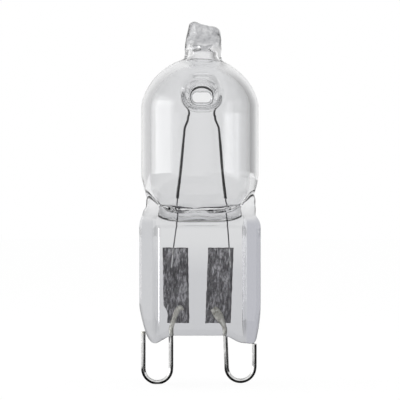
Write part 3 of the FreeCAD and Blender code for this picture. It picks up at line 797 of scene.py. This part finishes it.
def neck_field(point):
    """Negative inside the neck: ovals that flatten as they go down, and at their sides two pinched wings."""
    x, y, z = np.moveaxis(point, -1, 0)
    outside = half_width(x, z)
    wall = BULB_WALL * (0.5 + 0.5 * smooth_step((z - NECK_WALL_START) / NECK_WALL_RISE))
    power = 2 + SQUARENESS * smooth_step((SQUARE_TOP - z) / SQUARE_EASE)
    oval = oval_field(x, y, np.minimum(outside, cavity_width(z) + wall), neck_thickness(z), power)
    rise = smooth_step((z - NECK_FOOT) / WING_RISE)
    outward = smooth_step((np.abs(x) - WING_ROOT + WING_SPREAD * rise) / WING_EASE)
    thickness = WEB_HALF_THICKNESS + WING_SWELL * rise * outward
    inset = WING_INSET * smooth_step((WING_INSET_TOP - z) / WING_INSET_EASE)
    wing = smooth_max(np.abs(y) - thickness, np.abs(x) - outside + inset, WING_EDGE)
    wing = smooth_max(wing, z - WING_TOP, WING_TOP_EDGE)
    return np.maximum(smooth_min(oval, wing, NECK_BLEND), NECK_FOOT - z)


def cavity_neck_field(point):
    """Negative inside the cavity's lower end: the neck less its wall, down to a slot with a round floor."""
    x, y, z = np.moveaxis(point, -1, 0)
    steepness = (neck_thickness(z + SLOPE_STEP) - neck_thickness(z - SLOPE_STEP)) / (2 * SLOPE_STEP)
    opening = neck_thickness(z) - BULB_WALL * np.hypot(1, steepness) - SLOT_HALF_GAP
    thickness = SLOT_HALF_GAP + np.maximum(opening, 0) * smooth_step((z - SLOT_TOP) / SLOT_LEDGE + 1)
    return smooth_max(oval_field(x, y, cavity_width(z), thickness), SLOT_FLOOR - z, SLOT_HALF_GAP * 2)


def dome_field(point, inset):
    """Negative inside the bulb: a round wall that a rounded shoulder joins to a dome, part of a ball."""
    x, y, z = np.moveaxis(point, -1, 0)
    out = np.hypot(x, y)
    rise = z - DOME_CENTRE
    shoulder_place = BULB_RADIUS - DOME_BLEND
    on_dome = rise * shoulder_place > out * (DOME_LEVEL - DOME_CENTRE)
    ball = np.hypot(out, rise) - DOME_RADIUS + inset
    shoulder = np.hypot(out - shoulder_place, np.maximum(z - DOME_LEVEL, 0)) - DOME_BLEND + inset
    wall = out - BULB_RADIUS + inset
    return np.where(on_dome, ball, np.where(z > DOME_LEVEL, shoulder, wall))


stub_wrinkles = wave_field(7, 26, (-7, 7), (-5.0, 5.0), whole=True)
crown_wrinkles = wave_field(8, 22, (-4.5, 4.5), (-4.5, 4.5))


def stub_field(point):
    """Negative inside the stub: a tube's end that tapers to a slanted, wrinkled, rounded top."""
    x, y, z = np.moveaxis(point, -1, 0)
    taper = np.clip((z - STUB_TAPER_LEVEL) / (STUB_TOP - STUB_TAPER_LEVEL), 0, 1) ** 1.3
    x = x - STUB_OFFSET - STUB_LEAN * taper
    melted = smooth_step((z - STUB_TAPER_LEVEL + 0.4) / 1.2)
    wrinkle = STUB_WRINKLE * melted * stub_wrinkles(np.arctan2(y, x), z)
    wall = np.hypot(x, y) - STUB_RADIUS + (STUB_RADIUS - STUB_TOP_RADIUS) * taper - wrinkle
    slope = STUB_SLANT / (2 * STUB_TOP_RADIUS)
    crown = STUB_CROWN_WRINKLE * crown_wrinkles(x, y)
    top = z - STUB_TOP + STUB_CROWN_DROP + (x + STUB_TOP_RADIUS) * slope - crown
    return smooth_max(wall, top, STUB_RIM)


def outer_field(point):
    """Negative inside the whole outer form, before it is dented."""
    x, y, z = np.moveaxis(point, -1, 0)
    bulb = np.where(z < NECK_TOP, neck_field(point), dome_field(point, 0.0))
    foot = smooth_min(seal_field(point), bulb, NECK_BLEND)
    return smooth_min(foot, np.maximum(stub_field(point), DOME_CENTRE - z), STUB_ROOT)


bore_wrinkles = wave_field(11, 30, (-5, 5), (-6.0, 6.0), whole=True)
floor_wavers = wave_field(12, 10, (-3.0, 3.0), (-2.0, 2.0))
meniscus_wavers = wave_field(13, 14, (-3.5, 3.5), (-3.5, 3.5))


def cavity_field(point):
    """Negative inside the cavity: the bulb less its wall, down to a slot and up into the collapsed bore."""
    x, y, z = np.moveaxis(point, -1, 0)
    waver = SLOT_WAVER * floor_wavers(x, y) * smooth_step((SLOT_WAVER_TOP - z) / SLOT_WAVER_EASE)
    lifted = np.stack([x, y, z - waver], axis=-1)
    bulb = np.where(z < NECK_TOP, cavity_neck_field(lifted), dome_field(point, BULB_WALL))
    collapse = smooth_step((z - BORE_CLEAR_TOP) / BORE_COLLAPSE_EASE)
    angle = np.arctan2(y, x - STUB_OFFSET)
    wrinkle = BORE_WRINKLE * collapse * bore_wrinkles(angle, z)
    bore_radius = BORE_RADIUS * (1 - BORE_COLLAPSE * collapse) + wrinkle
    bore = np.hypot(x - STUB_OFFSET, y) - np.maximum(bore_radius, BORE_LEAST_RADIUS)
    bore = smooth_max(bore, z - BORE_TOP - MENISCUS_WAVER * meniscus_wavers(x, y), MENISCUS_EDGE)
    return smooth_min(bulb, np.maximum(bore, DOME_CENTRE - z), BORE_ROOT)


def rounded_outline(point, centre, half, corner):
    """How far a point lies outside a rounded rectangle about a centre, seen from the front."""
    x, y, z = np.moveaxis(point - centre, -1, 0)
    across = np.abs(x) - half[0] + corner
    up = np.abs(z) - half[1] + corner
    outside = np.hypot(np.maximum(across, 0), np.maximum(up, 0))
    return outside + np.minimum(np.maximum(across, up), 0) - corner


def dent_outline(point):
    """How far a point lies outside the outline of the dents' floors, seen from the front."""
    return rounded_outline(point, DENT_CENTRE, DENT_FLOOR_HALF, DENT_FLOOR_CORNER)


def lowered(point, depth):
    """Points moved down by the dents' lift at that depth, which tilts the dents up toward their mouths."""
    return point - np.stack([depth * 0, depth * 0, np.maximum(depth, 0) * math.tan(DENT_LIFT)], axis=-1)


def post_outline(point):
    """How far a point lies outside the post's outline, seen from the front."""
    return rounded_outline(point, POST_CENTRE, POST_HALF, POST_CORNER)


def dented_field(point):
    """Negative inside the outer form less the dents, whose walls lean out from the floor by their draft."""
    depth = np.abs(point[..., 1]) - DENT_FLOOR_DEPTH
    wall = dent_outline(lowered(point, depth)) * math.cos(DENT_DRAFT) - depth * math.sin(DENT_DRAFT)
    dent = smooth_max(wall, -depth, DENT_FLOOR_EDGE)
    return smooth_max(outer_field(point), -dent, DENT_RIM)


def posted_field(point):
    """Negative inside the cavity less the backs of the dents and the post that joins them."""
    depth = np.abs(point[..., 1]) - DENT_HALF_GAP
    outline = dent_outline(lowered(point, depth)) - DENT_WALL
    wall = outline * math.cos(DENT_DRAFT) - depth * math.sin(DENT_DRAFT)
    bump = smooth_max(wall, -depth, DENT_BACK_EDGE)
    glass = smooth_min(bump, post_outline(point), POST_FOOT)
    return smooth_max(cavity_field(point), -glass, POST_ROOT)


def spine_rays(columns, spine, roundness):
    """Rays that go round a form from a straight spine across it, square to a stadium about that spine.

    They start at the +X end and go round by the front. Gives each ray's start along X and its direction.
    """
    girth = 4 * spine + 2 * np.pi * roundness
    along = girth * np.arange(columns) / columns
    quarter = roundness * np.pi / 2
    front = np.clip(along - quarter, 0, 2 * spine)
    back = np.clip(along - 3 * quarter - 2 * spine, 0, 2 * spine)
    angle = (along - front - back) / roundness
    return spine - front + back, np.cos(angle), -np.sin(angle)


def skin(columns, level, spine, roundness, centre, tilt, follow, field):
    """A closed form's skin as rows of rays: each row has its level, spine, centre and tilt up or down.

    follow is how much of the seal's lower edge a row repeats. Each point is where its ray leaves the field.
    """
    level, spine, roundness, centre, tilt, follow = (
        np.asarray(row, dtype=float)[:, None] for row in (level, spine, roundness, centre, tilt, follow)
    )
    x, out_x, out_y = spine_rays(columns, spine, roundness)
    z = level + follow * (foot_line(x) - SEAL_BOTTOM)
    start = np.stack([x + centre, np.zeros_like(x), z], axis=-1)
    lean = np.broadcast_to(np.sin(tilt), x.shape)
    direction = np.stack([out_x * np.cos(tilt), out_y * np.cos(tilt), lean], axis=-1)
    return find_edge(start, direction, field, reach=12.0)


def window_loop(index, rows, columns):
    """The grid's points round a window in it, once round, starting at its lower corner."""
    (low, high), (first, last) = rows, columns
    return np.concatenate(
        [
            index[low, first:last],
            index[low:high, last],
            index[high, last:first:-1],
            index[high:low:-1, first],
        ]
    )


def dent_rings(edge, centre, outline, shares, field):
    """Rings from a window's edge in to an outline: each follows that outline moved out by a share of the
    edge's own distance from it. Each point lies where a ray to the front leaves the field.
    """
    outward = (edge - centre) * (1, 0, 1)
    outward /= np.linalg.norm(outward, axis=1, keepdims=True)
    offsets = outline(edge) * shares[:, None]
    starts = np.broadcast_to(centre, offsets.shape + (3,))
    outlines = find_edge(starts, outward[None], lambda point: outline(point) - offsets, reach=8.0)
    return find_edge(outlines, np.array([0.0, -1.0, 0.0]), field, reach=9.0)


def ray_grid(plan, field):
    """A skin's grid from its flat foot to its pole, and the rows of its windows.

    The rays of the foot's rows turn from straight down to level, and those of the cap's rows up to the pole.
    Between them the rows go up in stretches: their spine shrinks to a point as the form goes from flat to
    round, and their centre moves over under the stub.
    """
    foot_turn = np.radians(np.linspace(-90, 0, plan["foot_rows"]))
    cap_turn = np.radians(np.linspace(0, 90, plan["cap_rows"] + 1))[1:]
    starts = [plan["foot_level"]] + [end for end, count in plan["stretches"]]
    runs = [np.linspace(low, end, count + 1)[1:] for low, (end, count) in zip(starts, plan["stretches"])]
    levels = np.concatenate(runs)

    def joined(foot, middle, cap):
        ends = np.broadcast_to(foot, len(foot_turn)), np.broadcast_to(cap, len(cap_turn))
        return np.concatenate([ends[0], middle, ends[1]])

    flattening = smooth_step((plan["round_level"] - levels) / plan["flat_ease"])
    flat, full, cap = plan["roundness"]
    foot_spine = plan["spine"] + plan["foot_spread"] * (1 - np.cos(foot_turn))
    foot_round = np.maximum(flat * np.cos(foot_turn), 1e-4)
    level = joined(plan["foot_level"], levels, levels[-1])
    spine = joined(foot_spine, plan["spine"] * flattening, 0.0)
    roundness = joined(foot_round, full + (flat - full) * flattening, cap)
    shift = smooth_step((levels - SHIFT_LEVEL) / plan["shift_ease"])
    off_axis = joined(0.0, STUB_OFFSET * shift, STUB_OFFSET)
    tilt = joined(foot_turn, np.zeros(len(levels)), cap_turn)
    follow = plan["follow"] * joined(1.0, smooth_step((FOLLOW_TOP - levels) / FOLLOW_EASE), 0.0)
    points = skin(plan["columns"], level, spine, roundness, off_axis, tilt, follow, field)
    return points, [int(np.argmin(np.abs(level - edge))) for edge in plan["window"]]


def windowed_faces(index, rows, half_window):
    """A grid's faces without its front and back windows, and the index loops round those windows."""
    columns = index.shape[1]
    front = columns // 4
    back = columns - front
    faces = wrapped_faces(index).reshape(index.shape[0] - 1, columns, 4)
    kept = np.ones(faces.shape[:2], dtype=bool)
    kept[rows[0]:rows[1], front - half_window:front + half_window] = False
    kept[rows[0]:rows[1], back - half_window:back + half_window] = False
    front_loop = window_loop(index, rows, (front - half_window, front + half_window))
    mirrored = index[:, (columns - np.arange(columns)) % columns]
    back_loop = window_loop(mirrored, rows, (front - half_window, front + half_window))
    return faces[kept], front_loop, back_loop


def dented_skin(plan, whole_field, centre, outline, field, floor):
    """A skin whose grid has both its windows filled. Rings lead in from each window: to the dent's floor and
    its middle where floor is set, or else to the middle plane, where the front's last ring is the back's too.
    """
    points, rows = ray_grid(plan, whole_field)
    shares = np.linspace(1, 0, plan["rings"] + 1)[1:] ** RING_CROWDING
    index = np.arange(points.shape[0] * points.shape[1]).reshape(points.shape[:2])
    index[0] = folded(index[0])
    index[-1] = index[-1, 0]
    grid_faces, front_loop, back_loop = windowed_faces(index, rows, plan["half_window"])
    points = points.reshape(-1, 3)
    rings = dent_rings(points[front_loop], centre, outline, shares, field)
    if floor:
        middle = DENT_CENTRE - (0, DENT_FLOOR_DEPTH, 0)
        share = np.linspace(1, 0, FLOOR_RINGS + 1)[1:, None, None]
        rings = np.concatenate([rings, middle + (rings[-1] - middle) * share])
    else:
        rings[-1, :, 1] = 0.0
    count = rings.shape[0] * rings.shape[1]
    front_index = len(points) + np.arange(count).reshape(rings.shape[:2])
    back_index = front_index + count
    if floor:
        front_index[-1] = front_index[-1, 0]
        back_index[-1] = back_index[-1, 0]
    else:
        back_index[-1] = front_index[-1]
    front_faces = wrapped_faces(np.vstack([front_loop, front_index]))
    back_faces = wrapped_faces(np.vstack([back_loop, back_index]))[:, ::-1]
    both = np.concatenate([points, rings.reshape(-1, 3), rings.reshape(-1, 3) * (1, -1, 1)])
    return both, np.concatenate([grid_faces, front_faces, back_faces])


def quartz_material():
    """Clear quartz that takes a little light at each surface. Its grey is painted shade that changes with
    height and is darkest on the seal, with more painted shade on the seal's rails, the right one darker and
    bluer; where the stub was melted it also turns cloudy.
    """
    material, start = new_material("clear_quartz")
    place = object_place(start)
    across, height = coordinate(place, "X"), coordinate(place, "Z")
    # Painted shade: a grey tint that changes with height, taken from the stops above.
    low, high = PAINTED_SHADE_SPAN
    share = start.node("ShaderNodeMapRange", None, {"Value": height, "From Min": low, "From Max": high})
    tint = toned(share, [((level - low) / (high - low), shade) for level, shade in QUARTZ_PAINTED_SHADES])
    sealed = eased(height, 17.2, 18.2, 1.0, 0.0)
    left_rail_shade_share = eased(across * -1, 4.95, 5.15)
    right_rail_shade_share = eased(across, 4.95, 5.15)
    melted = eased(height, 36.0, 37.2)
    crazed = noise(place, 2.4, 4.0, 0.6)
    cloudy = {"Value": crazed, "From Min": 0.35, "From Max": 0.65, "To Min": 1.0, "To Max": 0.0}
    clouds = start.node("ShaderNodeMapRange", None, cloudy)
    # Painted shade on the rails within the seal, more of it on the right rail.
    tint = mixed(left_rail_shade_share * sealed, tint, LEFT_RAIL_PAINTED_SHADE)
    tint = mixed(right_rail_shade_share * sealed, tint, RIGHT_RAIL_PAINTED_SHADE)
    tint = mixed(clouds * melted, tint, STUB_SHADE)
    drawn = noise(object_place(start, (0.9, 0.9, 0.06)), 1.0, 2.0)
    relief = drawn * 0.25 + crazed * melted
    bump = start.node("ShaderNodeBump", None, {"Height": relief, "Strength": 0.35, "Distance": 0.00008})
    surface = {
        "Base Color": tint,
        "Roughness": melted * 0.04,
        "IOR": 1.42,
        "Transmission Weight": 1.0,
        "Normal": bump,
    }
    coat(start, surface)
    return material


outer_points, outer_faces = dented_skin(
    OUTER_PLAN, outer_field, DENT_CENTRE, dent_outline, dented_field, floor=True
)
cavity_points, cavity_faces = dented_skin(
    CAVITY_PLAN, cavity_field, POST_CENTRE, post_outline, posted_field, floor=False
)
new_piece(
    "quartz_envelope_glass",
    np.concatenate([outer_points, cavity_points]),
    np.concatenate([outer_faces, len(outer_points) + cavity_faces[:, ::-1]]),
    quartz_material(),
    "quartz",
    "quartz_envelope",
)

# Studio: a pale table, a white surround that dims to both sides, soft light from the left and a weaker one
# from the right front. Three black cards, one upright at the right and two on the table, show only in
# reflections and draw the dark sides of the wires.
FLOOR_SIZE = 3.0
CARD_NEAR = -0.2
CARD_FAR = 0.12
CARD_RIGHT = 0.045
CARD_HEIGHT = 0.016
CAMERA_DISTANCE = 0.4
CAMERA_HEIGHT = 0.01995
VIEW_WIDTH = 0.04324
SENSOR = 36.0
WHITE = (1.0, 1.0, 1.0, 1.0)


def ray_kinds(start):
    """Three channels, each 1 for one kind of ray: from the camera, reflected, or through the glass."""
    kinds = ("Is Camera Ray", "Is Glossy Ray", "Is Transmission Ray")
    return [start.node("ShaderNodeLightPath", output=kind) for kind in kinds]


def floor_material():
    """A pale matt table that looks nearly white from the camera, and white in the glass and the wires."""
    material, start = new_material("pale_table")
    seen, glossy, through = ray_kinds(start)
    grain = noise(object_place(start), 0.4, 3.0)
    colour = toned(grain, [(0.3, (0.94, 0.94, 0.94, 1.0)), (0.7, (0.98, 0.98, 0.98, 1.0))])
    table = start.node("ShaderNodeBsdfDiffuse", None, {"Color": colour})
    white = start.node("ShaderNodeEmission", None, {"Color": WHITE, "Strength": 1.0})
    shader = start.node("ShaderNodeMixShader", None, {0: seen * 0.85 + glossy + through, 1: table, 2: white})
    start.node("ShaderNodeOutputMaterial", None, {"Surface": shader})
    return material


def stage_plane(name, corners, material):
    """A flat piece of the studio with four corners, in metres."""
    mesh = bpy.data.meshes.new(name)
    mesh.from_pydata(corners, [], [(0, 1, 2, 3)])
    mesh.materials.append(material)
    plane = bpy.data.objects.new(name, mesh)
    bpy.context.scene.collection.objects.link(plane)
    return plane


def level_corners(left, near, right, far, level):
    """The corners of a level rectangle, going round against the clock from above."""
    return [(left, near, level), (right, near, level), (right, far, level), (left, far, level)]


half_floor = FLOOR_SIZE / 2
floor_corners = level_corners(-half_floor, -half_floor, half_floor, half_floor, 0.0)
stage_plane("floor", floor_corners, floor_material())

world = bpy.data.worlds.new("studio")
bpy.context.scene.world = world
world.use_nodes = True
world.node_tree.nodes.clear()
start = Channel(world.node_tree)
seen, glossy, through = ray_kinds(start)
direction = start.node("ShaderNodeTexCoord", output="Generated")
sideways = coordinate(direction, "X")
below_ceiling = eased(coordinate(direction, "Z"), 0.65, 0.95, 1.0, 0.95)
left_of_card = eased(sideways, 0.3, 1.0, 1.0, 0.75)
toward_left = eased(sideways, -0.6, -0.05, 0.7, 1.0)
toward_right = eased(sideways, 0.05, 0.55, 1.0, 0.58)
shown = seen + glossy * below_ceiling * left_of_card + through * below_ceiling * toward_left * toward_right
level = shown + (1.0 - seen - glossy - through)
background = start.node("ShaderNodeBackground", None, {"Color": WHITE, "Strength": level})
start.node("ShaderNodeOutputWorld", None, {"Surface": background})


def soft_light(name, azimuth, distance, height, width, tall, radiance):
    """A rectangular light that faces the bulb. azimuth is in degrees to the right of the camera's place."""
    turn = math.radians(azimuth)
    lamp = bpy.data.lights.new(name, "AREA")
    lamp.shape = "RECTANGLE"
    lamp.size = width
    lamp.size_y = tall
    lamp.energy = radiance * math.pi * width * tall
    light = bpy.data.objects.new(name, lamp)
    light.location = (distance * math.sin(turn), -distance * math.cos(turn), height)
    light.rotation_euler = (math.radians(90), 0, turn)
    bpy.context.scene.collection.objects.link(light)


soft_light("key_light", -84, 0.32, 0.05, 0.28, 0.22, 1.9)
soft_light("key_spill", -84, 0.33, 0.06, 0.34, 0.32, 1.2)
soft_light("fill_light", 58, 0.4, 0.06, 0.12, 0.3, 1.3)


def black_card(name, corners):
    """A matt black card that only reflections show."""
    material, start = new_material(name)
    weave = noise(object_place(start), 0.5, 2.0)
    colour = toned(weave, [(0.3, (0.008, 0.008, 0.008, 1.0)), (0.7, (0.016, 0.016, 0.016, 1.0))])
    felt = start.node("ShaderNodeBsdfDiffuse", None, {"Color": colour})
    start.node("ShaderNodeOutputMaterial", None, {"Surface": felt})
    card = stage_plane(name, corners, material)
    card.visible_camera = False
    card.visible_diffuse = False
    card.visible_transmission = False
    card.visible_volume_scatter = False
    card.visible_shadow = False


side_corners = [
    (CARD_RIGHT, CARD_NEAR, 0.0),
    (CARD_RIGHT, CARD_FAR, 0.0),
    (CARD_RIGHT, CARD_FAR, CARD_HEIGHT),
    (CARD_RIGHT, CARD_NEAR, CARD_HEIGHT),
]
black_card("side_flag", side_corners)
black_card("table_flag", level_corners(-0.03, -0.05, 0.03, 0.01, 0.00008))
black_card("right_table_flag", level_corners(0.016, CARD_NEAR, CARD_RIGHT, CARD_FAR, 0.00006))

camera_data = bpy.data.cameras.new("camera")
camera_data.sensor_width = SENSOR
camera_data.lens = SENSOR * CAMERA_DISTANCE / VIEW_WIDTH
camera = bpy.data.objects.new("camera", camera_data)
camera.location = (0.0, -CAMERA_DISTANCE, CAMERA_HEIGHT)
camera.rotation_euler = (math.radians(90), 0, 0)
bpy.context.scene.collection.objects.link(camera)
bpy.context.scene.camera = camera
bpy.context.scene.view_settings.view_transform = "Standard"
